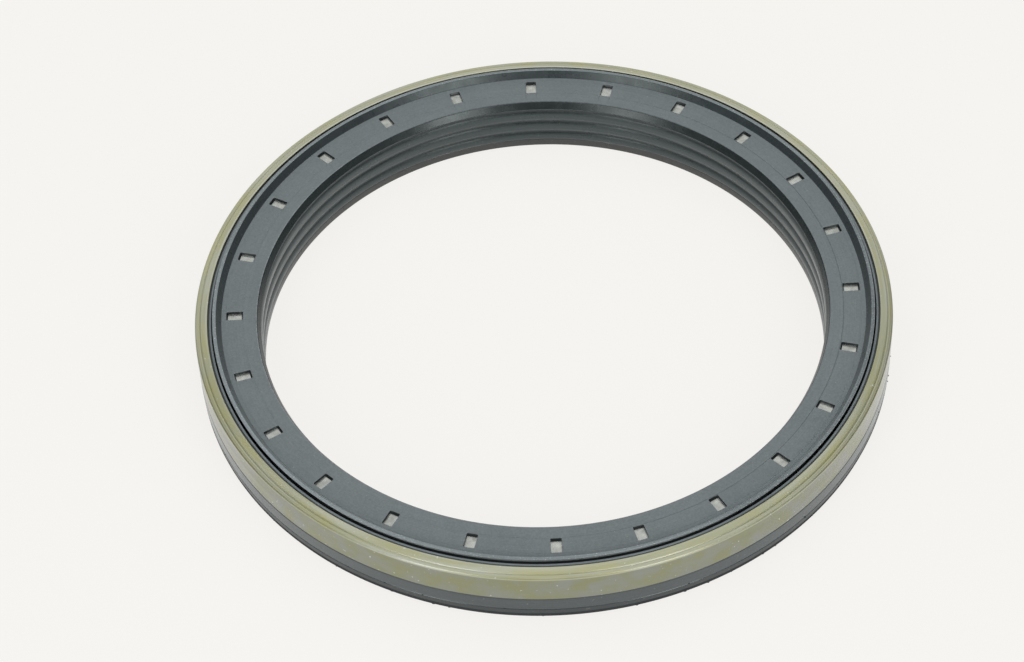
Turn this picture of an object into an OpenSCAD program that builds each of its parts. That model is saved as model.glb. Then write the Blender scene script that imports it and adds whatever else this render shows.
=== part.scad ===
// Cassette shaft seal for a wheel hub.
// A fixed outer ring carries the lips. An inner ring with the running sleeve turns in it.
// The axis is Z, the outside faces up, the oil side faces down, and the seal stands on z = 0.
// Each section is drawn once, as radius and height, and turned about the axis.

/* [Fit] */
// Diameter of the hub that the ribbed bore grips
hub_d = 130; // [128:0.5:131]
// How much smaller the ribs are than the hub, on the radius
rib_squeeze = 0.1; // [0:0.05:0.3]
// Diameter of the housing bore that the case is pressed into
housing_d = 160; // [159:0.5:163]
// Height of the whole seal
seal_h = 16; // [16:0.25:17]
// Height of the outer ring, from its foot to its rolled rim
outer_h = 14.5; // [14.25:0.25:15]

/* [Outer case] */
// Thickness of the case's sheet steel
case_t = 1.2; // [1:0.1:1.3]
// Width of the rim that is rolled in over the rubber
rim_w = 2.9; // [2.6:0.1:3.2]
// How far the rim lies under the top of the face lip
rim_drop = 0.7; // [0.5:0.1:1]
// Height of the bare metal on the outside wall, rim included
bare_h = 7.7; // [7.2:0.1:7.9]

/* [Running sleeve] */
// Thickness of the sleeve's sheet steel
sleeve_t = 1; // [0.9:0.1:1.1]
// Thickness of the rubber between the hub and the sleeve
bore_rubber_t = 1.3; // [1.2:0.1:1.5]
// Running clearance that stands for the lips' light touch on the sleeve
lip_gap = 0.05; // [0.02:0.01:0.1]

/* [Face] */
// Depth of the face below the top of the face lip
face_drop = 1.45; // [1.2:0.05:1.6]
// Thickness of the rubber on the flange, which is the depth of the windows
face_t = 0.7; // [0.5:0.1:0.9]
// Number of windows that show the flange
window_count = 24; // [12:1:36]
// Length of a window, along the radius
window_l = 3.8; // [3:0.1:4.2]
// Width of a window
window_w = 2.44; // [1.5:0.02:3]

/* [Bore ribs] */
// Number of ribs in the bore
rib_count = 3; // [2:1:3]
// Distance from one rib to the next
rib_pitch = 3.5; // [3.3:0.05:3.5]
// Depth of the valleys between the ribs
rib_depth = 0.45; // [0.3:0.05:0.5]

/* [Main lip] */
// Diameter of the garter spring's coil
spring_d = 1.8; // [1.4:0.1:2]
// Number of dust lips that stand up to the flange
dust_lips = 2; // [1:1:2]

/* [Hidden] */

$fn = 180;
lacquer = [0.62, 0.60, 0.42];
rubber = [0.42, 0.45, 0.47];
dark_rubber = [0.30, 0.33, 0.34];
steel = [0.72, 0.73, 0.70];

// The outer ring: case wall, rim, neck and the leg that carries the lips
case_r = housing_d / 2;
wall_r = case_r - case_t;
rim_z = seal_h - rim_drop;
foot_z = rim_z - outer_h;
rim_end_r = case_r - rim_w;
bare_z = rim_z - bare_h;
seat_t = 1.2;
neck_r = case_r - seat_t;
neck_h = 0.6;
leg_z = bare_z - 2.4;
leg_top_z = leg_z + case_t;

// The inner ring: sleeve, flange and face
bore_r = hub_d / 2 - rib_squeeze;
sleeve_in = hub_d / 2 + bore_rubber_t;
sleeve_out = sleeve_in + sleeve_t;
face_z = seal_h - face_drop;
flange_z = face_z - face_t;
flange_low_z = flange_z - sleeve_t;
flange_r = case_r - 5.7;
edge_r = flange_r + 0.75;
window_r = flange_r - 5.33;
collar_r = sleeve_out + 0.8;
collar_z = 0.5;
collar_t = 0.8;

// The leg ends short of the sleeve, with room for the lip that hangs from it
leg_r = sleeve_out + 5;
lip_r = sleeve_out + lip_gap;
spring_r = lip_r + 2.6;
spring_z = foot_z + 2.2;
floor_z = leg_top_z + 0.6;
lining_r = rim_end_r - 0.96;

// The bore ribs, counted from the top one
rib_arc = 3;
rib_flat = 0.04;
valley_r = bore_r + rib_depth;
top_rib_z = face_z - 4.5;
last_rib_z = top_rib_z - (rib_count - 1) * rib_pitch;

// Outline with its corners eased: a point's third number is how far back the easing starts
function eased(pts) = [
    for (i = [0:len(pts) - 1])
        let (n = len(pts), a = flat(pts[(i + n - 1) % n]), b = flat(pts[i]), c = flat(pts[(i + 1) % n]))
        each (len(pts[i]) < 3 ? [b] : bend(b + pts[i][2] * unit(a - b), b, b + pts[i][2] * unit(c - b)))
];
function flat(p) = [p[0], p[1]];
function unit(v) = v / norm(v);

// Smooth bend from one point to another, drawn towards a corner
function bend(from, corner, to) =
    let (steps = norm(to - from) < 0.4 ? 2 : 5)
    [for (k = [0:steps]) let (s = k / steps) pow(1 - s, 2) * from + 2 * s * (1 - s) * corner + s * s * to];

// Turns a section about the seal's axis
module turned() {
    rotate_extrude($fn = 180) children();
}

// Section of the case: rim, bare wall, neck and leg, as one bent sheet
module case_section() {
    shoulder_z = rim_z - 0.55;
    polygon(eased([
        // Rolled rim, the crease of its bend and the bare wall
        [rim_end_r, rim_z, 0.12], [case_r - 1.3, rim_z - 0.45, 0.2], [case_r - 1.14, shoulder_z - 0.08],
        [case_r - 0.98, shoulder_z, 0.06], [case_r, shoulder_z, 0.6], [case_r, bare_z, 0.15],
        // Neck and leg, outside then inside
        [neck_r, bare_z - neck_h, 0.3], [neck_r, leg_z, 1.4], [leg_r, leg_z, 0.1],
        [leg_r, leg_top_z, 0.1], [neck_r - case_t, leg_top_z, 0.5],
        [neck_r - case_t, bare_z - neck_h + 0.55, 0.3], [wall_r, bare_z + 0.6, 0.3],
        // Inside of the wall and the underside of the rim
        [wall_r, shoulder_z - case_t - 0.1, 0.5], [rim_end_r, rim_z - 1.15, 0.1]
    ]));
}

// Outline of the lip rubber, drawn through the case's sheet where it is bonded on
module lip_outline() {
    mid_r = case_r - case_t / 2;
    tail_z = foot_z + 3.2;
    cover_z = leg_z - 0.6;
    head_z = foot_z + 1;
    seat = spring_d / 2;
    polygon(eased([
        // Ring inside the rim, with the fine groove beside the metal's edge
        [lining_r, rim_z - 0.2, 0.15], [rim_end_r - 0.47, rim_z - 0.2, 0.08], [rim_end_r - 0.35, rim_z - 0.6],
        // Bonded behind the rim and the bare wall, then out under the wall's lower edge
        [rim_end_r + 0.3, rim_z - 0.65], [mid_r - 0.3, rim_z - 1.3], [mid_r, rim_z - 1.8],
        [mid_r, bare_z + 0.3], [case_r - 0.25, bare_z - 0.1], [case_r, bare_z - 0.3, 0.1],
        // Outside seat, its moulding line, the lead-in taper and the foot
        [case_r, tail_z + 0.1, 0.08], [case_r - 0.2, tail_z - 0.05], [case_r - 0.05, tail_z - 0.25, 0.08],
        [case_r - 0.12, foot_z + 0.7, 0.4], [case_r - 0.7, foot_z, 0.3], [case_r - 3, foot_z, 0.5],
        // Inside of the foot and the underside of the leg
        [case_r - 3.3, cover_z, 0.8], [leg_r + 0.2, cover_z, 0.5], [leg_r - 0.9, cover_z + 0.3, 0.3],
        // Back of the main lip, above and below the spring's groove
        [spring_r + 0.3, spring_z + seat + 0.4, 0.15], [spring_r + 0.2, spring_z + seat - 0.15],
        [spring_r, spring_z], [spring_r + 0.5, spring_z - seat + 0.1, 0.05], [spring_r + 0.25, head_z, 0.2],
        // Lip edge: steep on the oil side, shallow on the air side
        [lip_r + 1.1, head_z, 0.2], [lip_r, head_z + 1.1], [lip_r + 1, head_z + 3.25, 0.8],
        [lip_r + 2.4, leg_top_z, 0.3],
        // Radial dust lip, tipped away from the oil
        [lip_r, floor_z + 1.6, 0.08], [lip_r + 0.2, floor_z + 1.95, 0.12], [lip_r + 3, floor_z, 0.4],
        // Floor of the dust chamber and the lining up the wall
        [lining_r + 0.5, floor_z, 1]
    ]));
}

// Blade of an axial dust lip: it leans outward and thins to its edge
module dust_blade(root_r, tip_z) {
    polygon(eased([
        [root_r - 0.5, floor_z - 0.2], [root_r - 0.5, floor_z], [root_r + 0.1, floor_z, 0.45],
        [root_r + 1, tip_z, 0.1], [root_r + 1.35, tip_z, 0.15],
        [root_r + 1, floor_z, 0.45], [root_r + 1.6, floor_z], [root_r + 1.6, floor_z - 0.2]
    ]));
}

// Section of the sleeve: collar, running wall and flange, as one bent sheet
module sleeve_section() {
    polygon(eased([
        [sleeve_in, flange_z, 1.5], [flange_r, flange_z, 0.05], [flange_r, flange_low_z, 0.05],
        [sleeve_out, flange_low_z, 0.5], [sleeve_out, collar_z + collar_t, 0.25],
        [collar_r, collar_z + collar_t, 0.1], [collar_r, collar_z], [sleeve_in, collar_z, 0.6]
    ]));
}

// Outline of the sleeve's rubber, without its ribs and drawn through the sheet
module sleeve_rubber_outline() {
    mouth_z = face_z - 1.85;
    guard_z = flange_low_z - 0.55;
    polygon(eased([
        // Mouth of the bore, and the valley line behind the ribs
        [hub_d / 2 + 0.72, face_z, 0.3], [bore_r, mouth_z, 0.15], [valley_r, mouth_z - 0.6],
        [valley_r, last_rib_z], [bore_r, last_rib_z],
        // Lead-in band, then the foot under the collar
        [bore_r, 0.65, 0.2], [bore_r + 0.7, 0, 0.3], [collar_r - 0.4, 0, 0.25], [collar_r, collar_z],
        // Inside the sheet, up the sleeve and out along the flange
        [sleeve_in + 0.5, collar_z + 0.4], [sleeve_in + 0.5, flange_z - 1.6],
        [sleeve_in + 1.5, flange_z - 0.4], [flange_r - 1.7, flange_z - 0.5],
        // Rubber that wraps the flange's edge
        [flange_r - 1.7, guard_z, 0.15], [edge_r, guard_z, 0.4], [edge_r, face_z - 0.1, 0.2],
        // Face lip, flared outward
        [edge_r + 0.89, seal_h - 0.15, 0.07], [edge_r + 0.76, seal_h, 0.1], [edge_r + 0.13, seal_h, 0.15],
        [edge_r - 1.22, face_z, 0.15]
    ]));
}

// One rib: a round bead with a flattened crest, cut off inside the sheet
module rib_section(z) {
    intersection() {
        translate([bore_r - rib_flat + rib_arc, z])
            circle(rib_arc, $fn = 96);
        translate([bore_r, z - rib_pitch])
            square([1, 2 * rib_pitch]);
    }
}

// Fine moulding line under the last rib, where the lead-in band starts
module band_line() {
    line_z = last_rib_z - 0.5;
    polygon([[bore_r - 0.2, line_z + 0.3], [bore_r + 0.15, line_z], [bore_r - 0.2, line_z - 0.3]]);
}

// Windows through the rubber, down to the flange; their ends slope inward, as the mould's pins leave them
module windows() {
    slope = 0.22;
    window_end_r = window_r + window_l;
    for (i = [0:window_count - 1])
        rotate(i * 360 / window_count)
            translate([0, window_w / 2, 0])
                rotate([90, 0, 0])
                    linear_extrude(window_w)
                        polygon([
                            [window_r + slope, flange_z - 0.4], [window_end_r - slope, flange_z - 0.4],
                            [window_end_r - slope, flange_z], [window_end_r, face_z],
                            [window_end_r, face_z + 0.3], [window_r, face_z + 0.3],
                            [window_r, face_z], [window_r + slope, flange_z]
                        ]);
}

// Line left on the face by the mould's ring insert, which sits a little off centre
module insert_line(r) {
    line_w = 0.18;
    line_deep = 0.1;
    off_centre = 0.07;
    difference() {
        translate([off_centre, 0, face_z - line_deep])
            cylinder(r = r + line_w, h = 1);
        translate([0, 0, face_z - 1])
            cylinder(r = r, h = 3);
    }
}

// Section of the lip rubber: its outline less the case's sheet and the spring's groove
module lip_rubber_section() {
    blade_r = [lip_r + 3.3, lip_r + 5.8];
    blade_z = [flange_low_z - 0.3, flange_low_z - 0.85];
    difference() {
        union() {
            lip_outline();
            for (i = [0:dust_lips - 1])
                dust_blade(blade_r[i], blade_z[i]);
        }
        case_section();
        spring_section();
    }
}

// Section of the garter spring, as the round of its coil
module spring_section() {
    translate([spring_r, spring_z])
        circle(d = spring_d, $fn = 48);
}

// Section of the sleeve's rubber: its outline and ribs less the sleeve's sheet
module sleeve_rubber_section() {
    difference() {
        union() {
            sleeve_rubber_outline();
            for (i = [0:rib_count - 1])
                rib_section(top_rib_z - i * rib_pitch);
        }
        sleeve_section();
        band_line();
    }
}

module outer_case() {
    color(lacquer)
        turned() case_section();
}

module lip_rubber() {
    color(dark_rubber)
        turned() lip_rubber_section();
}

module garter_spring() {
    color(steel)
        turned() spring_section();
}

module running_sleeve() {
    color(steel)
        turned() sleeve_section();
}

module sleeve_rubber() {
    color(rubber)
        difference() {
            turned() sleeve_rubber_section();
            windows();
            insert_line(window_r - 0.06);
            insert_line(window_r + window_l + 0.1);
        }
}

outer_case();
lip_rubber();
garter_spring();
running_sleeve();
sleeve_rubber();
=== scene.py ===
"""Looks of a cassette shaft seal: rubber, lacquered steel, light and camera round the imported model.

Outlines are drawn once as radius and height in millimetres, and turned about the seal's axis.
"""
import math
import random

import bpy
import numpy as np
from mathutils import Matrix, Vector

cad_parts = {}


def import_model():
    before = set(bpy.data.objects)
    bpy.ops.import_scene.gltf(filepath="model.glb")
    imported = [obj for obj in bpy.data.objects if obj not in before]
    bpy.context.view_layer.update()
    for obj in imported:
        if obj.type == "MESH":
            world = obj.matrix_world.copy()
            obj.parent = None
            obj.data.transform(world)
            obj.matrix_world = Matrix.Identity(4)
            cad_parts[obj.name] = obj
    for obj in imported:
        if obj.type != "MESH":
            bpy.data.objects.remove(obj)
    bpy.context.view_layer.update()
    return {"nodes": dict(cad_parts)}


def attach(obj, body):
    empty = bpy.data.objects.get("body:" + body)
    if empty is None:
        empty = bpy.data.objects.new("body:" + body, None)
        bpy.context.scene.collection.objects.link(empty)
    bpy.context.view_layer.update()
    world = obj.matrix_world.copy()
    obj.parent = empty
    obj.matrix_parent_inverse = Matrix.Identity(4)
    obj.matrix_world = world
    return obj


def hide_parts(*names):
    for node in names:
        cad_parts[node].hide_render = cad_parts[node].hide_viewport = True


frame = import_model()

MM = 0.001

# Driving measures, as in the part's source
HUB_D = 130.0
RIB_SQUEEZE = 0.1
HOUSING_D = 160.0
SEAL_H = 16.0
OUTER_H = 14.5
CASE_T = 1.2
RIM_W = 2.9
RIM_DROP = 0.7
BARE_H = 7.7
SLEEVE_T = 1.0
BORE_RUBBER_T = 1.3
LIP_GAP = 0.05
FACE_DROP = 1.45
FACE_T = 0.7
WINDOW_COUNT = 24
WINDOW_L = 3.8
WINDOW_W = 2.44
RIB_COUNT = 3
RIB_PITCH = 3.5
RIB_DEPTH = 0.45
SPRING_D = 1.8

# The outer ring: case wall, rim, neck and leg
case_r = HOUSING_D / 2
wall_r = case_r - CASE_T
rim_z = SEAL_H - RIM_DROP
foot_z = rim_z - OUTER_H
rim_end_r = case_r - RIM_W
bare_z = rim_z - BARE_H
neck_r = case_r - 1.2
neck_h = 0.6
leg_z = bare_z - 2.4
leg_top_z = leg_z + CASE_T
shoulder_z = rim_z - 0.55

# The inner ring: sleeve, flange and face
bore_r = HUB_D / 2 - RIB_SQUEEZE
sleeve_in = HUB_D / 2 + BORE_RUBBER_T
sleeve_out = sleeve_in + SLEEVE_T
face_z = SEAL_H - FACE_DROP
flange_z = face_z - FACE_T
flange_low_z = flange_z - SLEEVE_T
flange_r = case_r - 5.7
edge_r = flange_r + 0.75
window_r = flange_r - 5.33
collar_r = sleeve_out + 0.8
collar_z = 0.5

# Lips, spring and lining
leg_r = sleeve_out + 5
lip_r = sleeve_out + LIP_GAP
spring_r = lip_r + 2.6
spring_z = foot_z + 2.2
floor_z = leg_top_z + 0.6
lining_r = rim_end_r - 0.96
tail_z = foot_z + 3.2

# Bore ribs
rib_arc = 3.0
rib_flat = 0.04
valley_r = bore_r + RIB_DEPTH
mouth_z = face_z - 1.85
top_rib_z = face_z - 4.5
last_rib_z = top_rib_z - (RIB_COUNT - 1) * RIB_PITCH

# Steps round the plain rings; a sector about a window has even steps, and finer ones at its corners
RING_STEPS = 320
SIDE_STEPS = 6
ACROSS = [-1, -0.93, -0.85, -0.76, -0.3, 0.3, 0.76, 0.85, 0.93, 1]
ALONG = [-1, -0.965, -0.92, -0.87, -0.3, 0.3, 0.87, 0.92, 0.965, 1]
FRAME_SIDE = 0.3
FRAME_END = 0.08
CORNER_R = 0.28
window_mid_r = window_r + WINDOW_L / 2


# The case's sheet from below its bare wall, round its leg and up its inside to the rim's cut end
SHEET_UNDER = [
    (neck_r, bare_z - neck_h, 0.3), (neck_r, leg_z, 1.4), (leg_r, leg_z, 0.1),
    (leg_r, leg_top_z, 0.1), (neck_r - CASE_T, leg_top_z, 0.5),
    (neck_r - CASE_T, bare_z - neck_h + 0.55, 0.3), (wall_r, bare_z + 0.6, 0.3),
    (wall_r, shoulder_z - CASE_T - 0.1, 0.5), (rim_end_r, rim_z - 1.15, 0.1)
]


# Geometry

def eased(stretches, finest=12):
    """Closed outline from named stretches of (radius, height, easing) points.

    A corner with an easing is rounded from that far before it to that far after it.
    Gives rows of (radius, height, name), where the name holds for the edge that starts there.
    """
    corners = [(name, *point) for name, points in stretches for point in points]
    rows = []
    for i, (name, r, z, *ease) in enumerate(corners):
        here = Vector((r, z))
        if not ease:
            rows.append((r, z, name))
            continue
        before = Vector(corners[i - 1][1:3]) - here
        after = Vector(corners[(i + 1) % len(corners)][1:3]) - here
        turn = 180 - math.degrees(before.angle(after))
        start = here + before.normalized() * ease[0]
        end = here + after.normalized() * ease[0]
        steps = max(2, math.ceil(turn / finest))
        for k in range(steps + 1):
            s = k / steps
            point = start * (1 - s) ** 2 + here * 2 * s * (1 - s) + end * s ** 2
            rows.append((point.x, point.y, corners[i - 1][0] if s < 0.5 else name))
    return rows


def rib_rows(z, low_half):
    """Rows of one rib of the bore: an arc with a flattened crest, from above its height z to below it."""
    reach = rib_arc - rib_flat
    half = math.acos((reach - RIB_DEPTH) / rib_arc)
    turns = [half * (1 - k / 7) for k in range(8)]
    turns += [-a for a in turns[-2::-1]] if low_half else []
    arc = [(bore_r + reach - rib_arc * math.cos(a), z + rib_arc * math.sin(a)) for a in turns]
    return [("bead", [(max(bore_r, r), height) for r, height in arc])]


def even_angles(count):
    """Angles round the ring in degrees."""
    return [i * 360 / count for i in range(count)]


def sector_angles():
    """Angles round the ring in degrees, with the finer lines that each window's corners need."""
    half = math.degrees(math.asin((WINDOW_W / 2 + FRAME_SIDE) / window_mid_r))
    edge = 180 / WINDOW_COUNT
    side = [edge - (edge - half) * k / SIDE_STEPS for k in range(SIDE_STEPS)]
    sector = [-a for a in side] + [half * s for s in ACROSS] + side[:0:-1]
    return [k * 360 / WINDOW_COUNT + a for k in range(WINDOW_COUNT) for a in sector]


def turned_points(rows, angles, shape=None):
    """Points of an outline turned about the axis, as an array of rows by angles by three."""
    turn = np.radians(angles)[None, :]
    r = np.array([row[0] for row in rows])[:, None] + 0 * turn
    z = np.array([row[1] for row in rows])[:, None] + 0 * turn
    if shape:
        r, z = shape(rows, r, z, turn)
    return np.stack([r * np.cos(turn), r * np.sin(turn), z], -1)


def ring_faces(rows, count, left_out=()):
    """Quads of a turned outline, each with its stretch's name; left_out holds (row, angle) cells."""
    faces, names = [], []
    for i, row in enumerate(rows):
        below = (i + 1) % len(rows)
        for j in range(count):
            if (i, j) in left_out:
                continue
            k = (j + 1) % count
            faces.append((i * count + j, i * count + k, below * count + k, below * count + j))
            names.append(row[2])
    return faces, names


def make_piece(name, points, faces, names, finishes, body, node=None, sharp=50):
    """Mesh object in metres from points in millimetres, with a material for each stretch's name."""
    mesh = bpy.data.meshes.new(name)
    mesh.from_pydata((np.asarray(points) * MM).tolist(), [], faces)
    order = list(dict.fromkeys(finishes.values()))
    for material in order:
        mesh.materials.append(material)
    index = [order.index(finishes[n]) for n in names]
    mesh.polygons.foreach_set("material_index", index)
    mesh.polygons.foreach_set("use_smooth", [True] * len(faces))
    mesh.set_sharp_from_angle(angle=math.radians(sharp))
    mesh.update()
    piece = bpy.data.objects.new(name, mesh)
    bpy.context.collection.objects.link(piece)
    even = piece.modifiers.new("even_shading", "WEIGHTED_NORMAL")
    even.keep_sharp = True
    if node:
        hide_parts(node)
    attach(piece, body)


def turned_piece(name, rows, finishes, body, node, angles, shape=None):
    """Ring whose outline is turned about the axis."""
    points = turned_points(rows, angles, shape).reshape(-1, 3)
    faces, names = ring_faces(rows, len(angles))
    make_piece(name, points, faces, names, finishes, body, node)


def ripple(turn, size, seed, waves=(2, 3, 5, 9, 14)):
    """Slow uneven wave round the ring, of about that size."""
    draw = random.Random(seed)
    total = 0 * turn
    for n in waves:
        total = total + draw.uniform(0.3, 1) * np.sin(n * turn + draw.uniform(0, math.tau)) / math.sqrt(n)
    return size * total


# Outlines

def turned_round(rows):
    """Rows in the other order; each edge keeps its stretch's name, which moves to its new start."""
    back = rows[::-1]
    return [(r, z, back[(i + 1) % len(back)][2]) for i, (r, z, _) in enumerate(back)]


def case_rows():
    """Case: rim, crease, bare wall, neck and leg, as one bent sheet."""
    return turned_round(eased([
        ("rim", [
            (rim_end_r, rim_z, 0.16), (case_r - 1.3, rim_z - 0.45, 0.2),
            (case_r - 1.14, shoulder_z - 0.08), (case_r - 0.98, shoulder_z, 0.06),
            (case_r, shoulder_z, 0.6)
        ]),
        ("wall", [(case_r, bare_z, 0.15)]),
        ("under", SHEET_UNDER)
    ]))


def blade_points(root_r, tip_z):
    """Axial dust lip standing on the dust chamber's floor, drawn from its inner side to its outer."""
    return [
        (root_r + 1.6, floor_z), (root_r + 1, floor_z, 0.4), (root_r + 1.35, tip_z, 0.15),
        (root_r + 1, tip_z, 0.1), (root_r + 0.1, floor_z, 0.4), (root_r - 0.5, floor_z)
    ]


def lip_rubber_rows():
    """Lip rubber: lining, outside seat, foot, spring groove, lips and dust chamber, round the case."""
    seat = SPRING_D / 2
    cover_z = leg_z - 0.6
    head_z = foot_z + 1
    groove = [math.radians(a) for a in range(65, 294, 19)]
    return turned_round(eased([
        ("lining", [(lining_r, rim_z - 0.2, 0.15), (rim_end_r - 0.47, rim_z - 0.2, 0.08)]),
        ("groove", [(rim_end_r - 0.35, rim_z - 0.6), (rim_end_r, rim_z - 0.6)]),
        # Bonded to the case's sheet, from the rim down to the leg and round its end
        ("hidden", SHEET_UNDER[::-1] + [(case_r - 0.12, bare_z - 0.07)]),
        ("seat", [
            (case_r, bare_z - 0.3, 0.1), (case_r, tail_z + 0.1, 0.08), (case_r - 0.2, tail_z - 0.05)
        ]),
        ("taper", [(case_r - 0.05, tail_z - 0.25, 0.08)]),
        ("foot", [
            (case_r - 0.08, foot_z + 1.75), (case_r - 0.12, foot_z + 0.7, 0.4), (case_r - 0.7, foot_z, 0.3),
            (case_r - 3, foot_z, 0.5), (case_r - 3.3, cover_z, 0.8)
        ]),
        ("hidden", [
            (leg_r + 0.2, cover_z, 0.5), (leg_r - 0.9, cover_z + 0.3, 0.3),
            (spring_r + 0.3, spring_z + seat + 0.4, 0.15),
            *[(spring_r + seat * math.cos(a), spring_z + seat * math.sin(a)) for a in groove],
            (spring_r + 0.5, spring_z - seat - 0.02), (spring_r + 0.25, head_z, 0.1),
            (lip_r + 1.1, head_z, 0.2), (lip_r, head_z + 1.1), (lip_r + 1, head_z + 3.25, 0.8),
            (lip_r + 2.4, leg_top_z, 0.3), (lip_r, floor_z + 1.6, 0.08),
            (lip_r + 0.2, floor_z + 1.95, 0.12), (lip_r + 3, floor_z, 0.25),
            *blade_points(lip_r + 3.3, flange_low_z - 0.3)[::-1],
            *blade_points(lip_r + 5.8, flange_low_z - 0.85)[::-1],
            (lining_r + 0.5, floor_z, 0.3)
        ])
    ]))


def face_rubber_rows():
    """Sleeve's rubber: face, face lip, wrap of the flange, foot, ribbed bore and its mouth."""
    guard_z = flange_low_z - 0.55
    frame_l = WINDOW_L / 2 + FRAME_END
    frame_r = [window_mid_r + t * frame_l for t in ALONG]
    inner_line = window_r - 0.17
    outer_line = window_r + WINDOW_L + 0.19
    line_z = last_rib_z - 0.5
    ribs = []
    for i in range(RIB_COUNT):
        ribs += rib_rows(top_rib_z - i * RIB_PITCH, i < RIB_COUNT - 1)
    return eased([
        ("mouth", [(HUB_D / 2 + 0.72, face_z, 0.3)]),
        ("bead", [(bore_r, mouth_z, 0.15), (valley_r, mouth_z - 0.6)]),
        *ribs,
        # The last rib runs out into the plain band, below a fine moulding line
        ("band", [(bore_r, line_z + 0.15), (bore_r + 0.15, line_z), (bore_r, line_z - 0.15)]),
        ("hidden", [
            (bore_r, 0.65, 0.2), (bore_r + 0.7, 0, 0.3), (collar_r - 0.4, 0, 0.25), (collar_r, collar_z),
            (sleeve_in, collar_z, 0.6), (sleeve_in, flange_z, 1.5)
        ]),
        ("windows_below", [(r, flange_z) for r in frame_r]),
        ("hidden", [
            (flange_r, flange_z, 0.05), (flange_r, flange_low_z, 0.05), (flange_r - 1.7, flange_low_z),
            (flange_r - 1.7, guard_z, 0.15), (edge_r, guard_z, 0.4)
        ]),
        ("lip_side", [(edge_r, face_z - 0.1, 0.2)]),
        ("lip_top", [(edge_r + 0.93, SEAL_H - 0.12, 0.04), (edge_r + 0.91, SEAL_H, 0.05)]),
        ("slope", [(edge_r + 0.13, SEAL_H, 0.15)]),
        ("face_outer", [
            (edge_r - 1.14, face_z, 0.12),
            (outer_line + 0.08, face_z), (outer_line + 0.04, face_z - 0.05),
            (outer_line - 0.04, face_z - 0.05), (outer_line - 0.08, face_z)
        ]),
        ("windows", [(r, face_z) for r in frame_r[::-1]]),
        ("face_inner", [
            (inner_line + 0.08, face_z), (inner_line + 0.035, face_z - 0.09),
            (inner_line - 0.035, face_z - 0.09), (inner_line - 0.08, face_z)
        ])
    ])


# Pieces

def round_window(s, t, half_w, half_l):
    """Point on a window's rounded outline for a place on its square frame, along and across."""
    along, across = t * half_l, s * half_w
    past_l = abs(along) - (half_l - CORNER_R)
    past_w = abs(across) - (half_w - CORNER_R)
    if past_l > 0 and past_w > 0:
        pull = CORNER_R / math.hypot(past_l, past_w)
        along = math.copysign(half_l - CORNER_R + past_l * pull, along)
        across = math.copysign(half_w - CORNER_R + past_w * pull, across)
    return along, across


def window_frame():
    """Places round a window's frame in order, as steps along and across."""
    last = len(ACROSS) - 1
    ends = [(0, i) for i in range(last)] + [(i, last) for i in range(last)]
    return ends + [(last, last - i) for i in range(last)] + [(last - i, 0) for i in range(last)]


def face_rubber(finishes):
    """The sleeve's rubber, with its windows down to the flange: eased edges and sloping ends."""
    rows, angles = face_rubber_rows(), sector_angles()
    count = len(angles)
    cells = len(ALONG) - 1
    stretches = [row[2] for row in rows]
    top_first = stretches.index("windows")
    below_first = stretches.index("windows_below")

    def columns(k):
        """Angle indices across window k."""
        return [k * count // WINDOW_COUNT + SIDE_STEPS + c for c in range(len(ACROSS))]

    left_out = set()
    for k in range(WINDOW_COUNT):
        for j in columns(k)[:-1]:
            left_out |= {(top_first + i, j) for i in range(cells)}
            left_out |= {(below_first + i, j) for i in range(cells)}

    points = list(turned_points(rows, angles, face_shape).reshape(-1, 3))
    faces, names = ring_faces(rows, count, left_out)
    # Depth under the face, and how much the window is wider and longer there
    levels = [
        (0, 0.05, 0.05), (0.02, 0.015, 0.02), (0.07, 0, -0.02),
        (FACE_T - 0.04, 0, -0.3), (FACE_T, 0, -0.31)
    ]
    eased_levels = 2
    draw = random.Random(5)
    play = 0.03
    for k in range(WINDOW_COUNT):
        turn = Matrix.Rotation(math.radians(k * 360 / WINDOW_COUNT), 3, "Z")
        j = columns(k)
        wide, long = draw.uniform(-play, play), draw.uniform(-play, play)
        loops = [[(top_first + cells - t) * count + j[s] for t, s in window_frame()]]
        for depth, more_w, more_l in levels:
            loop = []
            for t, s in window_frame():
                half_w = (WINDOW_W + wide) / 2 + more_w
                half_l = (WINDOW_L + long) / 2 + more_l
                along, across = round_window(ACROSS[s], ALONG[t], half_w, half_l)
                loop.append(len(points))
                points.append(turn @ Vector((window_mid_r + along, across, face_z - depth)))
            loops.append(loop)
        loops.append([(below_first + t) * count + j[s] for t, s in window_frame()])
        for level, (upper, lower) in enumerate(zip(loops, loops[1:])):
            for i in range(len(upper)):
                n = (i + 1) % len(upper)
                faces.append((upper[i], lower[i], lower[n], upper[n]))
                names.append("windows" if level < eased_levels else "window_wall")
    used = sorted({i for f in faces for i in f})
    place = {old: new for new, old in enumerate(used)}
    faces = [tuple(place[i] for i in f) for f in faces]
    points = [tuple(points[i]) for i in used]
    make_piece(
        "face_rubber", points, faces, names, finishes,
        "inner_ring", "sleeve_rubber", sharp=60
    )


def face_shape(rows, r, z, turn):
    """Moulding lines on the face, sharp on the right; the soft lip is wavy and a little off centre."""
    off_centre = 0.1
    deep = 0.45 + 0.55 * np.clip(0.5 + 0.9 * np.cos(turn + 0.1), 0, 1)
    for i, row in enumerate(rows):
        if row[2].startswith("face_") and row[1] < face_z - 0.01 and row[0] > HUB_D / 2 + 1:
            z[i] = face_z + (z[i] - face_z) * deep
    lip = np.clip((z - face_z - 0.4) / 1.05, 0, 1)
    return r + lip * (ripple(turn, 0.03, 3) - off_centre * (1 - np.sin(turn))), z


def case_shape(rows, r, z, turn):
    """The rolled rim is a little uneven, as pressing leaves it."""
    rim = np.clip((z - shoulder_z - 0.05) / 0.5, 0, 1)
    return r, z + rim * ripple(turn, 0.02, 8)


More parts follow.
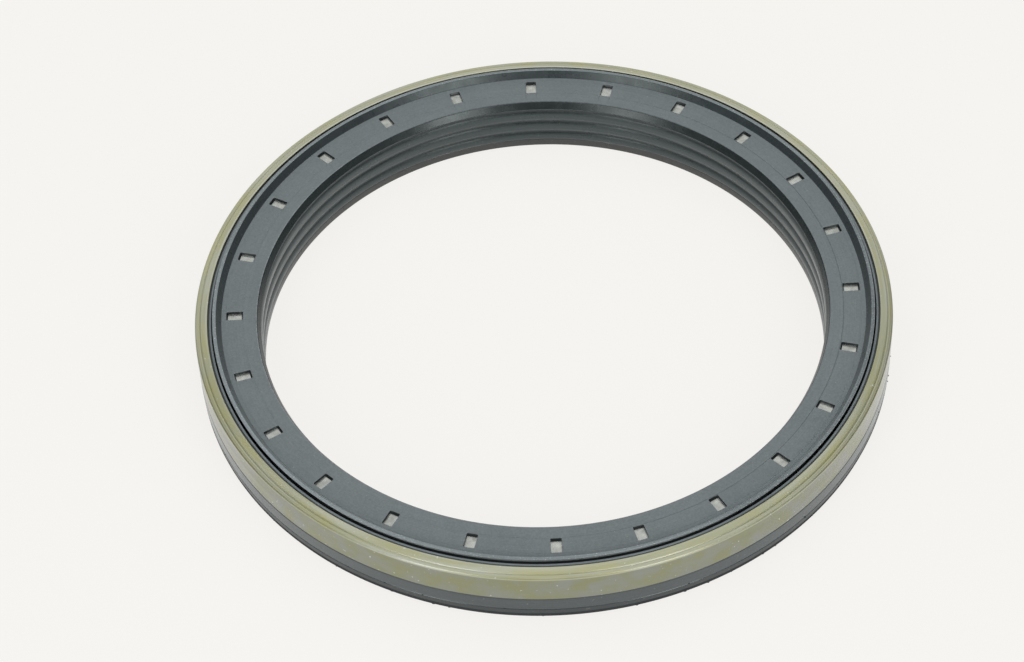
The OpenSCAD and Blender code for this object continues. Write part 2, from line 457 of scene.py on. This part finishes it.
def garter_spring(finish):
    """Close-wound coil joined into a ring, in the groove behind the main lip."""
    wire_d = 0.42
    tightness = 0.97
    coil_r = (SPRING_D - wire_d) / 2
    turns = round(math.tau * spring_r / wire_d * tightness)
    around, sides = 12, 5
    count = turns * around
    step = np.arange(count)
    big = math.tau * step / count
    small = math.tau * step / around
    points = np.empty((count, sides, 3))
    for s in range(sides):
        side = math.tau * s / sides
        reach = coil_r + wire_d / 2 * math.cos(side)
        slide = wire_d / 2 * math.sin(side) / spring_r
        r = spring_r + reach * np.cos(small)
        points[:, s] = np.stack(
            [r * np.cos(big + slide), r * np.sin(big + slide), spring_z + reach * np.sin(small)], -1
        )
    faces = []
    for i in range(count):
        n = (i + 1) % count
        for s in range(sides):
            t = (s + 1) % sides
            faces.append((i * sides + s, i * sides + t, n * sides + t, n * sides + s))
    make_piece(
        "spring_coil", points.reshape(-1, 3), faces, ["wire"] * len(faces), {"wire": finish},
        "outer_ring", "garter_spring", sharp=180
    )


def flash_nibs(finish):
    """Torn flash left by the mould on the outside rubber: small thin nibs along two of its edges."""
    draw = random.Random(11)
    line_angles = [291, 313, 322, 336, 339, 342, 345.5, 347, 351, 356, 235, 242, 249, 262, 204, 118, 60]
    points, faces = [], []

    def nib(angle, r, z, wide, out, drop):
        """One nib: a thin wedge with its root in the rubber."""
        root_in, thick = 0.15, draw.uniform(0.05, 0.11)
        half = math.degrees(wide / 2 / r)
        tip = half * draw.uniform(0.1, 0.5)
        lean = half * draw.uniform(-0.8, 0.8)
        first = len(points)
        for a, radius, height in [
            (-half, r - root_in, z), (half, r - root_in, z), (half, r - root_in, z + thick),
            (-half, r - root_in, z + thick), (lean - tip, r + out, z - drop),
            (lean + tip, r + out * draw.uniform(0.7, 1), z - drop * 0.8 + thick * 0.4)
        ]:
            turn = math.radians(angle + a)
            points.append((radius * math.cos(turn), radius * math.sin(turn), height))
        for face in [(0, 1, 2, 3), (0, 4, 5, 1), (3, 2, 5, 4), (0, 3, 4), (1, 5, 2)]:
            faces.append(tuple(first + i for i in face))

    # Along the foot's outer edge
    angle = 0.0
    while angle < 360:
        angle += draw.uniform(2, 16)
        nib(angle, case_r - 0.42, foot_z + 0.3, draw.uniform(0.2, 1.4), draw.uniform(0.0, 0.1), 0.12)
    # Along the moulding line, mostly on the right
    for angle in line_angles:
        wide = draw.uniform(0.2, 0.6)
        nib(angle + draw.uniform(-0.5, 0.5), case_r, tail_z, wide, draw.uniform(0.08, 0.24), 0.03)
    make_piece(
        "flash_nibs", points, faces, ["nib"] * len(faces), {"nib": finish},
        "outer_ring", sharp=30
    )


# Materials

class Finish:
    """A procedural material, built by small steps that each give a node's output."""

    def __init__(self, name):
        self.material = bpy.data.materials.new(name)
        self.material.use_nodes = True
        self.nodes = self.material.node_tree.nodes
        self.shader = self.nodes["Principled BSDF"]
        self.place = self.nodes.new("ShaderNodeTexCoord").outputs["Object"]
        split = self.nodes.new("ShaderNodeSeparateXYZ")
        self.join(self.place, split.inputs[0])
        x, y, z = split.outputs
        squared = self.maths("ADD", self.maths("MULTIPLY", x, x), self.maths("MULTIPLY", y, y))
        reach = self.maths("SQRT", squared)
        self.heading = (self.maths("DIVIDE", x, reach), self.maths("DIVIDE", y, reach))
        self.radius = self.maths("MULTIPLY", reach, 1000)
        self.height = self.maths("MULTIPLY", z, 1000)

    def join(self, value, socket):
        """Feeds a node's output, a number or a colour to an input."""
        if isinstance(value, bpy.types.NodeSocket):
            self.material.node_tree.links.new(value, socket)
        else:
            socket.default_value = value

    def maths(self, operation, a, b=0.0):
        """Result of one step of arithmetic."""
        node = self.nodes.new("ShaderNodeMath")
        node.operation = operation
        self.join(a, node.inputs[0])
        self.join(b, node.inputs[1])
        return node.outputs[0]

    def fit(self, value, low, high, to_low=0.0, to_high=1.0):
        """Value moved from one range to another, and held inside it."""
        node = self.nodes.new("ShaderNodeMapRange")
        for socket, given in zip(node.inputs, (value, low, high, to_low, to_high)):
            self.join(given, socket)
        return node.outputs[0]

    def grain(self, size, detail=2.0, seed=0.0):
        """Noise whose features are about that many millimetres wide."""
        return self.noise(self.place, 1 / (size * MM), detail, seed)

    def streaks(self, run, across, detail=2.0, seed=0.0):
        """Noise drawn out round the ring, with no seam: features of that run and width in millimetres."""
        stretch = case_r / run
        lie = self.maths("MULTIPLY", self.maths("ADD", self.radius, self.height), 1 / across)
        node = self.nodes.new("ShaderNodeCombineXYZ")
        self.join(self.maths("MULTIPLY", self.heading[0], stretch), node.inputs[0])
        self.join(self.maths("MULTIPLY", self.heading[1], stretch), node.inputs[1])
        self.join(lie, node.inputs[2])
        return self.noise(node.outputs[0], 1.0, detail, seed)

    def noise(self, vector, scale, detail, seed):
        """Noise at a place, from about nought to one."""
        node = self.nodes.new("ShaderNodeTexNoise")
        node.noise_dimensions = "4D"
        self.join(vector, node.inputs["Vector"])
        node.inputs["W"].default_value = seed
        node.inputs["Scale"].default_value = scale
        node.inputs["Detail"].default_value = detail
        return node.outputs["Fac"]

    def mix(self, amount, a, b):
        """Colour between a and b."""
        node = self.nodes.new("ShaderNodeMix")
        node.data_type = "RGBA"
        self.join(amount, node.inputs["Factor"])
        self.join(a, node.inputs["A"])
        self.join(b, node.inputs["B"])
        return node.outputs["Result"]

    def near(self, value, middle, width):
        """One at a middle value, falling to nought that far from it."""
        away = self.maths("ABSOLUTE", self.maths("SUBTRACT", value, middle))
        return self.fit(away, 0.0, width, 1.0, 0.0)

    def facing(self, angle, reach):
        """One at that angle round the ring, falling to nought that many degrees from it."""
        turn = math.radians(angle)
        x = self.maths("MULTIPLY", self.heading[0], math.cos(turn))
        y = self.maths("MULTIPLY", self.heading[1], math.sin(turn))
        return self.fit(self.maths("ADD", x, y), math.cos(math.radians(reach)), 1.0)

    def bump(self, height, deep, normal=None):
        """Adds relief that is that many millimetres deep."""
        node = self.nodes.new("ShaderNodeBump")
        node.inputs["Distance"].default_value = deep * MM
        self.join(height, node.inputs["Height"])
        if normal:
            self.join(normal, node.inputs["Normal"])
        self.join(node.outputs[0], self.shader.inputs["Normal"])
        return node.outputs[0]

    def set(self, **values):
        """Sets the shader's inputs; underscores in a name stand for spaces."""
        for name, value in values.items():
            self.join(value, self.shader.inputs[name.replace("_", " ").title().replace("Ior", "IOR")])


def grey(level, tint=(1.0, 1.0, 1.0), gain=1.0):
    """Colour of that level, a little tinted."""
    return (level * tint[0] * gain, level * tint[1] * gain, level * tint[2] * gain, 1.0)


# Tints of the rubber's grey, and of what it mirrors
COOL = (0.90, 1.03, 1.07)
WARM = (1.04, 1.0, 0.94)
TEAL = (0.82, 1.05, 1.08)
GLOSS_TINT = (0.90, 1.0, 1.0, 1.0)

# Colours that lie on the surfaces; some of them are painted highlight and painted shade
DUST = (0.42, 0.45, 0.44, 1.0)
SPARKLE = (0.62, 0.64, 0.66, 1.0)
EDGE_HIGHLIGHT = (0.36, 0.39, 0.40, 1.0)
PALE_EDGE_STEEL = (0.60, 0.62, 0.54, 1.0)
DARKER_LACQUER = (0.10, 0.095, 0.045, 1.0)
CUT_END_SHADE = (0.012, 0.012, 0.01, 1.0)
LACQUER_SPECKS = (0.7, 0.71, 0.66, 1.0)


def rubber(
    name, level, rough, tint=COOL, cloud=0.12, dust=0.2, lines=0.0, grain_deep=0.006, sparkle=0.0,
    film=0.0, hollow=0.0, uneven=0.0, valley_shade=0.0, painted_edge=0.0, gloss=0.5
):
    """Moulded rubber: clouded grey, fine grain, turned mould lines, dust, light specks and a dusty film.

    A hollow surface mirrors higher things than its outline alone would. An uneven one is paler on
    the left of the ring and much darker on the right. Valley shade is painted shade that makes the
    valleys between the bore's ribs blacker than the crests. A painted edge is a painted highlight
    along the face's inner edge on the left and front, with painted shade there at the back. Gloss is
    how strongly it mirrors.
    """
    m = Finish(name)
    colour = m.mix(m.grain(9, 3, 1), grey(level, tint, 1 - cloud), grey(level, tint, 1 + cloud))
    # Paler on the left of the ring and much darker on the right
    if uneven:
        colour = m.mix(m.maths("MULTIPLY", m.facing(210, 60), uneven), colour, grey(level, tint, 1.8))
        colour = m.mix(m.maths("MULTIPLY", m.facing(345, 50), uneven), colour, grey(level, tint, 0.1))
    if painted_edge:
        # Painted highlight along the face's inner edge on the left and front, and painted shade there at
        # the back
        line = m.near(m.radius, HUB_D / 2 + 0.86, 0.13)
        pale = m.maths("MULTIPLY", m.facing(195, 110), m.fit(m.grain(0.8, 2, 15), 0.4, 0.6, 0.1, painted_edge))
        colour = m.mix(m.maths("MULTIPLY", line, pale), colour, EDGE_HIGHLIGHT)
        colour = m.mix(m.maths("MULTIPLY", line, m.facing(85, 45)), colour, grey(level, tint, 0.2))
    # Painted shade: darker towards the valleys between the bore's ribs
    if valley_shade:
        deep = m.fit(m.radius, bore_r + 0.04, valley_r - 0.1, 0.0, valley_shade)
        colour = m.mix(deep, colour, grey(level, tint, 0.1))
    fine = m.grain(0.45, 2, 4)
    colour = m.mix(m.fit(fine, 0.35, 0.7, 0.0, 0.35), colour, grey(level, tint, 1.6))
    streak = m.streaks(30, 0.16, 3, 7)
    if lines:
        colour = m.mix(m.fit(streak, 0.45, 0.75, 0.0, lines), colour, grey(level, tint, 2.2))
    specks = m.fit(m.grain(0.5, 1, 9), 0.70, 0.78, 0.0, dust)
    colour = m.mix(specks, colour, DUST)
    # Sparkle: pale specks painted on as glints
    if sparkle:
        shine = m.fit(m.grain(0.32, 1, 12), 0.6, 0.72, 0.0, sparkle)
        colour = m.mix(shine, colour, SPARKLE)
    m.set(base_color=colour, roughness=m.fit(m.grain(3, 3, 2), 0.3, 0.7, rough - 0.05, rough + 0.06))
    m.set(sheen_weight=film, sheen_roughness=0.4, sheen_tint=GLOSS_TINT)
    m.set(specular_tint=GLOSS_TINT, specular_ior_level=gloss)
    relief = m.bump(fine, grain_deep)
    if hollow:
        relief = m.bump(m.maths("MULTIPLY", m.height, -1), hollow, relief)
    m.bump(streak, 0.004, relief)
    return m.material


def lacquer():
    """Steel sheet under a thin olive bonding lacquer: streaks, patches, paler places, specks, and painted
    shade on the cut end.
    """
    m = Finish("case_lacquer")
    olive = (0.355, 0.365, 0.235, 1.0)
    yellow = (0.38, 0.37, 0.18, 1.0)
    pale = (0.46, 0.475, 0.41, 1.0)
    colour = m.mix(m.fit(m.grain(8, 2, 1), 0.42, 0.68), olive, yellow)
    colour = m.mix(m.fit(m.streaks(28, 0.7, 3, 2), 0.45, 0.7, 0.0, 0.8), colour, pale)
    wall = m.fit(m.height, shoulder_z - 0.75, shoulder_z - 0.45, 1.0, 0.0)
    # On the wall the lacquer is thinner, with greyer patches
    thin_olive = (0.185, 0.192, 0.09, 1.0)
    thin_grey = (0.192, 0.202, 0.165, 1.0)
    thin = m.mix(m.fit(m.grain(5, 3, 5), 0.4, 0.62), thin_olive, thin_grey)
    colour = m.mix(wall, colour, thin)
    # Darker along the outer corner all round, and more so in two places round the ring, where the flat is
    # darker too and the crease gets painted shade
    dark_places = m.maths("MAXIMUM", m.facing(342, 44), m.maths("MULTIPLY", m.facing(206, 30), 0.8))
    crease = m.near(m.radius, case_r - 1.06, 0.2)
    corner = m.near(m.height, shoulder_z - 0.24, 0.26)
    flat = m.near(m.radius, case_r - 0.62, 0.34)
    corner_dark = m.maths("MULTIPLY", corner, m.fit(m.streaks(15, 6, 2, 3), 0.3, 0.65, 0.16, 0.45))
    thick = m.maths("MAXIMUM", m.maths("MULTIPLY", crease, 0.25), m.maths("MULTIPLY", flat, 0.65))
    thick = m.maths("MULTIPLY", m.maths("MAXIMUM", corner, thick), dark_places)
    colour = m.mix(m.maths("MAXIMUM", corner_dark, thick), colour, DARKER_LACQUER)
    # The sheet's cut end gets painted shade, near black; the edge above it is paler, mostly at the back
    pale_edge = m.maths("MULTIPLY", m.near(m.radius, rim_end_r + 0.22, 0.3), m.facing(95, 110))
    colour = m.mix(m.maths("MULTIPLY", pale_edge, 0.9), colour, PALE_EDGE_STEEL)
    low = m.fit(m.height, rim_z - 0.28, rim_z - 0.12, 1.0, 0.0)
    cut = m.maths("MULTIPLY", m.near(m.radius, rim_end_r, 0.1), low)
    colour = m.mix(cut, colour, CUT_END_SHADE)
    specks = m.fit(m.grain(0.7, 1, 9), 0.71, 0.77, 0.0, 0.6)
    colour = m.mix(specks, colour, LACQUER_SPECKS)
    brush = m.streaks(3.5, 0.12, 2, 6)
    m.set(base_color=colour, metallic=0.4, coat_weight=0.8, coat_roughness=0.2)
    m.set(roughness=m.fit(m.streaks(20, 1.5, 3, 8), 0.3, 0.7, 0.30, 0.48))
    relief = m.bump(m.grain(1.2, 3, 5), 0.01)
    m.bump(brush, 0.006, relief)
    return m.material


def sleeve_steel():
    """Bright phosphated sheet of the running sleeve: a cloudy pale satin."""
    m = Finish("sleeve_steel")
    cloud = m.grain(1.3, 4, 3)
    colour = m.mix(m.fit(cloud, 0.32, 0.68), (0.36, 0.38, 0.36, 1.0), (0.56, 0.59, 0.56, 1.0))
    m.set(base_color=colour, metallic=0.8, roughness=m.fit(m.grain(0.6, 3, 5), 0.3, 0.7, 0.2, 0.36))
    relief = m.bump(cloud, 0.02)
    m.bump(m.streaks(4, 0.2, 2, 2), 0.006, relief)
    return m.material


def spring_steel():
    """Oily spring wire."""
    m = Finish("spring_steel")
    colour = m.mix(m.grain(2, 3, 1), (0.36, 0.36, 0.35, 1.0), (0.58, 0.58, 0.56, 1.0))
    m.set(base_color=colour, metallic=0.9, roughness=m.fit(m.grain(0.8, 2, 4), 0.3, 0.7, 0.25, 0.4))
    m.bump(m.grain(0.3, 2, 6), 0.004)
    return m.material


# Room, light and camera

BACKDROP = (0.924, 0.906, 0.876, 1.0)
ROOM_LIGHT = (0.97, 0.985, 1.0, 1.0)
CARD_BLACK = (0.01, 0.01, 0.01, 1.0)

# The photo's camera, in degrees and millimetres
CAMERA_ELEVATION = 48.239
CAMERA_ROLL = -2.8406
CAMERA_TURN = 0.157
CAMERA_PLACE = (-7.40, -482.81, 545.58)
LENS = 109.87
FILM_WIDTH = 36


def seen_or_mirrored(nodes, links):
    """One for rays from the camera, or from a mirror or glass."""
    path = nodes.new("ShaderNodeLightPath")
    total = path.outputs["Is Camera Ray"]
    for name in ("Is Glossy Ray", "Is Transmission Ray"):
        node = nodes.new("ShaderNodeMath")
        node.operation = "MAXIMUM"
        links.new(total, node.inputs[0])
        links.new(path.outputs[name], node.inputs[1])
        total = node.outputs[0]
    return total


def world(level):
    """Even pale room: the backdrop's colour where it is seen, and a soft level of light elsewhere."""
    room = bpy.data.worlds.new("room")
    bpy.context.scene.world = room
    room.use_nodes = True
    nodes, links = room.node_tree.nodes, room.node_tree.links
    seen = nodes["Background"]
    seen.inputs["Color"].default_value = BACKDROP
    light = nodes.new("ShaderNodeBackground")
    light.inputs["Color"].default_value = ROOM_LIGHT
    light.inputs["Strength"].default_value = level
    mix = nodes.new("ShaderNodeMixShader")
    links.new(seen_or_mirrored(nodes, links), mix.inputs[0])
    links.new(light.outputs[0], mix.inputs[1])
    links.new(seen.outputs[0], mix.inputs[2])
    links.new(mix.outputs[0], nodes["World Output"].inputs["Surface"])


def card(name, corners, material):
    """Flat four-cornered piece of the studio."""
    mesh = bpy.data.meshes.new(name)
    mesh.from_pydata(corners, [], [(0, 1, 2, 3)])
    mesh.materials.append(material)
    thing = bpy.data.objects.new(name, mesh)
    bpy.context.collection.objects.link(thing)
    return thing


def floor(shadow):
    """Pale table; shadow is how much of its look comes from the light that falls on it."""
    material = bpy.data.materials.new("table")
    material.use_nodes = True
    nodes, links = material.node_tree.nodes, material.node_tree.links
    nodes.remove(nodes["Principled BSDF"])
    lit = nodes.new("ShaderNodeBsdfDiffuse")
    lit.inputs["Color"].default_value = BACKDROP
    plain = nodes.new("ShaderNodeEmission")
    plain.inputs["Color"].default_value = BACKDROP
    share = nodes.new("ShaderNodeMath")
    share.operation = "MULTIPLY"
    links.new(seen_or_mirrored(nodes, links), share.inputs[0])
    share.inputs[1].default_value = 1 - shadow
    mix = nodes.new("ShaderNodeMixShader")
    links.new(share.outputs[0], mix.inputs[0])
    links.new(lit.outputs[0], mix.inputs[1])
    links.new(plain.outputs[0], mix.inputs[2])
    links.new(mix.outputs[0], nodes["Material Output"].inputs["Surface"])
    # Metres; the top lies a hair below the seal's foot
    reach, top = 6.0, -0.00002
    corners = [(-reach, -reach, top), (reach, -reach, top), (reach, reach, top), (-reach, reach, top)]
    card("table", corners, material)


def flags():
    """Black studio flags, seen only in reflections: one behind the camera and one on each side."""
    material = bpy.data.materials.new("black_card")
    material.use_nodes = True
    shader = material.node_tree.nodes["Principled BSDF"]
    shader.inputs["Base Color"].default_value = CARD_BLACK
    shader.inputs["Roughness"].default_value = 0.9
    # Each flag stands on the table, from one end to the other, up to its height, in metres
    for name, start, end, high in [
        ("flag_back", (-0.52, -1.3), (0.45, -1.3), 2.3),
        ("flag_left", (-1.0, -1.05), (-1.0, 1.0), 1.5),
        ("flag_right", (1.0, -1.25), (1.0, 1.0), 1.5)
    ]:
        thing = card(name, [(*start, 0), (*end, 0), (*end, high), (*start, high)], material)
        thing.visible_camera = False
        thing.visible_diffuse = False
        thing.visible_shadow = False


def soft_light(name, azimuth, elevation, distance, width, height, power, mirrored=True):
    """Soft box aimed at the seal; azimuth 0 is the camera's side, and it grows to the right."""
    data = bpy.data.lights.new(name, "AREA")
    data.shape = "RECTANGLE"
    data.size, data.size_y = width, height
    data.energy = power
    light = bpy.data.objects.new(name, data)
    bpy.context.collection.objects.link(light)
    a, e = math.radians(azimuth), math.radians(elevation)
    way = Vector((math.sin(a) * math.cos(e), -math.cos(a) * math.cos(e), math.sin(e)))
    light.location = way * distance
    light.rotation_euler = way.to_track_quat("Z", "Y").to_euler()
    light.visible_camera = False
    light.visible_glossy = mirrored


def camera():
    """Camera of the photograph, as the windows' places give it."""
    elevation, roll = math.radians(CAMERA_ELEVATION), math.radians(CAMERA_ROLL)
    right = Vector((1, 0, 0))
    forward = Vector((0, math.cos(elevation), -math.sin(elevation)))
    up = Vector((0, math.sin(elevation), math.cos(elevation)))
    across = math.cos(roll) * right + math.sin(roll) * up
    upward = -math.sin(roll) * right + math.cos(roll) * up
    data = bpy.data.cameras.new("camera")
    data.lens, data.sensor_width = LENS, FILM_WIDTH
    data.clip_start, data.clip_end = 0.01, 50
    thing = bpy.data.objects.new("camera", data)
    bpy.context.collection.objects.link(thing)
    pose = Matrix((across, upward, -forward)).transposed().to_4x4()
    pose.translation = Vector(CAMERA_PLACE) * MM
    thing.matrix_world = Matrix.Rotation(math.radians(CAMERA_TURN), 4, "Z") @ pose
    bpy.context.scene.camera = thing


# The seal

# One rubber: face, lip top and lining are paler, partly their grained finish, partly painted light
face = rubber("face_matt", 0.146, 0.62, dust=0.35, lines=0.12, painted_edge=0.7)
slope = rubber(
    "slope_polished", 0.028, 0.28, TEAL, cloud=0.3, dust=0.12, lines=0.25, grain_deep=0.002, film=0.4
)
lip = rubber("lip_edge", 0.155, 0.42, dust=0.5, lines=0.5, sparkle=0.6, uneven=0.4)
mouth = rubber(
    "mouth_polished", 0.021, 0.26, TEAL, cloud=0.3, dust=0.05, lines=0.1, grain_deep=0.001, hollow=0.16
)
bead = rubber("bore_beads", 0.036, 0.3, TEAL, dust=0.15, lines=0.3, film=0.2, valley_shade=0.8)
band = rubber("bore_band", 0.034, 0.3, tint=WARM, dust=0.2, lines=0.2, film=0.27)
lining = rubber("wall_lining", 0.155, 0.38, cloud=0.2, dust=0.3, lines=0.35)
seat = rubber("outside_seat", 0.040, 0.2, dust=0.3, lines=0.35, film=0.3)
taper = rubber("outside_taper", 0.021, 0.36, dust=0.25, lines=0.4, film=0.12)
dark = rubber("hidden_rubber", 0.045, 0.5, dust=0.05)
# The windows' walls get a near-black rubber as painted shade
black = rubber("window_wall_shade", 0.012, 0.32, dust=0.0)
edge = rubber("torn_edge", 0.025, 0.7, dust=0.1, gloss=0.2)
lacquered = lacquer()
bright = sleeve_steel()

face_rubber({
    "face_inner": face, "face_outer": face, "windows": face, "window_wall": black,
    "windows_below": dark, "mouth": mouth, "slope": slope, "lip_top": lip, "lip_side": slope,
    "bead": bead, "band": band, "hidden": dark
})
turned_piece(
    "lip_ring", lip_rubber_rows(),
    {"lining": lining, "groove": dark, "hidden": dark, "seat": seat, "taper": taper, "foot": edge},
    "outer_ring", "lip_rubber", even_angles(RING_STEPS)
)
turned_piece(
    "case_shell", case_rows(), {"rim": lacquered, "wall": lacquered, "under": lacquered},
    "outer_ring", "outer_case", even_angles(RING_STEPS), case_shape
)
garter_spring(spring_steel())
flash_nibs(edge)
sleeve = frame["nodes"]["running_sleeve"]
for part_slot in sleeve.material_slots:
    part_slot.material = bright

world(0.64)
floor(0.1)
flags()
soft_light("overhead", 180, 70, 1.8, 2.0, 1.6, 5, mirrored=False)
soft_light("left_strip", -34, 24, 1.45, 0.46, 1.45, 7.3)
soft_light("right_strip", 29, 24, 1.45, 0.46, 1.45, 8.8)
camera()

bpy.context.scene.view_settings.view_transform = "Standard"
